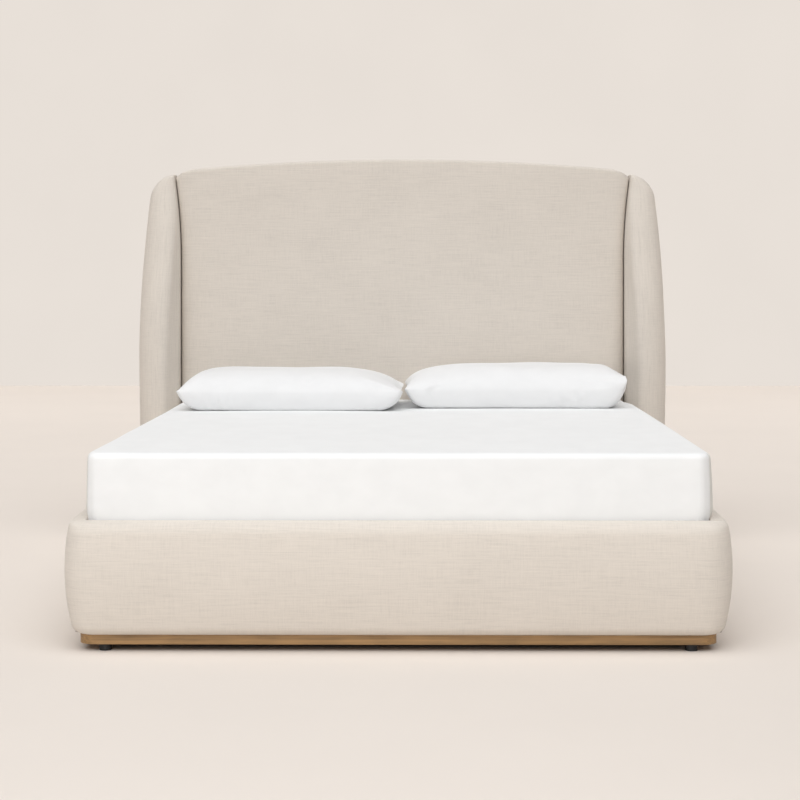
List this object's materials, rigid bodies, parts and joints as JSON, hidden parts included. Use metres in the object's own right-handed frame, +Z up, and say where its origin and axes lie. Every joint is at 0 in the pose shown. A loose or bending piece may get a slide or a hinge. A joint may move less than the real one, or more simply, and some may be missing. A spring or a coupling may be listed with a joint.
{
  "type": "upholstered headboard bed",
  "caption": "Upholstered bed with a winged, gently arched headboard, padded rails and footboard on a low timber plinth, with slats, mattress and pillows",
  "frame": {"origin": "on the floor under the centre of the bed", "axes": "+Z up, +Y towards the headboard, +X to the right seen from the foot end"},
  "size_m": [1.828, 2.2349, 1.3145],
  "materials": {
    "linen_upholstery": "warm oatmeal linen weave over foam",
    "sheet_cotton": "white cotton sheet",
    "pillow_cotton": "white cotton pillow case",
    "mattress_ticking": "white ticking over foam",
    "back_lining": "linen over thin board",
    "webbing": "woven polyester tape",
    "plinth_oak": "oiled oak",
    "frame_pine": "planed pine",
    "slat_beech": "planed beech",
    "plywood": "birch plywood",
    "steel_zinc": "zinc-plated steel",
    "glide_plastic": "black moulded plastic"
  },
  "bodies": {
    "frame": {"beam_hangers": "steel_zinc", "bracket_bolts": "steel_zinc", "centre_beam": "frame_pine", "centre_leg_1": "frame_pine", "centre_leg_2": "frame_pine", "centre_leg_3": "frame_pine", "foot_bracket_left": "steel_zinc", "foot_bracket_right": "steel_zinc", "footboard_board": "frame_pine", "footboard_pad": "linen_upholstery", "glides": "glide_plastic", "head_bracket_left": "steel_zinc", "head_bracket_right": "steel_zinc", "headboard_back_cover": "back_lining", "headboard_bottom_rail": "frame_pine", "headboard_mid_rail": "frame_pine", "headboard_pad": "linen_upholstery", "headboard_plinth": "plinth_oak", "headboard_plywood": "plywood", "headboard_post_left": "frame_pine", "headboard_post_right": "frame_pine", "headboard_top_rail": "frame_pine", "ledger_left": "frame_pine", "ledger_right": "frame_pine", "plinth_front": "plinth_oak", "plinth_side_left": "plinth_oak", "plinth_side_right": "plinth_oak", "rail_board_left": "frame_pine", "rail_board_right": "frame_pine", "rail_pad_left": "linen_upholstery", "rail_pad_right": "linen_upholstery", "screws": "steel_zinc", "slat_01": "slat_beech", "slat_02": "slat_beech", "slat_03": "slat_beech", "slat_04": "slat_beech", "slat_05": "slat_beech", "slat_06": "slat_beech", "slat_07": "slat_beech", "slat_08": "slat_beech", "slat_09": "slat_beech", "slat_10": "slat_beech", "slat_11": "slat_beech", "slat_12": "slat_beech", "slat_webbing": "webbing", "wing_bolts": "steel_zinc", "wing_cover_left": "linen_upholstery", "wing_cover_right": "linen_upholstery", "wing_frame_left": "frame_pine", "wing_frame_right": "frame_pine", "wing_panel_left": "plywood", "wing_panel_right": "plywood"},
    "mattress": {"mattress": "mattress_ticking", "fitted_sheet": "sheet_cotton"},
    "pillow_left": {"pillow_left": "pillow_cotton"},
    "pillow_right": {"pillow_right": "pillow_cotton"},
    "centre_glide_1": {"centre_glide_1": "steel_zinc"},
    "centre_glide_2": {"centre_glide_2": "steel_zinc"},
    "centre_glide_3": {"centre_glide_3": "steel_zinc"}
  },
  "joints": [
    {"name": "mattress_lift", "type": "slide", "parent": "frame", "child": "mattress", "axis": [0, 0, 1], "range_m": [0, 0.25]},
    {"name": "pillow_left_lift", "type": "slide", "parent": "mattress", "child": "pillow_left", "axis": [0, 0, 1], "range_m": [0, 0.3]},
    {"name": "pillow_right_lift", "type": "slide", "parent": "mattress", "child": "pillow_right", "axis": [0, 0, 1], "range_m": [0, 0.3]},
    {"name": "centre_glide_1_level", "type": "slide", "parent": "frame", "child": "centre_glide_1", "axis": [0, 0, -1], "range_m": [0, 0.015]},
    {"name": "centre_glide_2_level", "type": "slide", "parent": "frame", "child": "centre_glide_2", "axis": [0, 0, -1], "range_m": [0, 0.015]},
    {"name": "centre_glide_3_level", "type": "slide", "parent": "frame", "child": "centre_glide_3", "axis": [0, 0, -1], "range_m": [0, 0.015]}
  ]
}
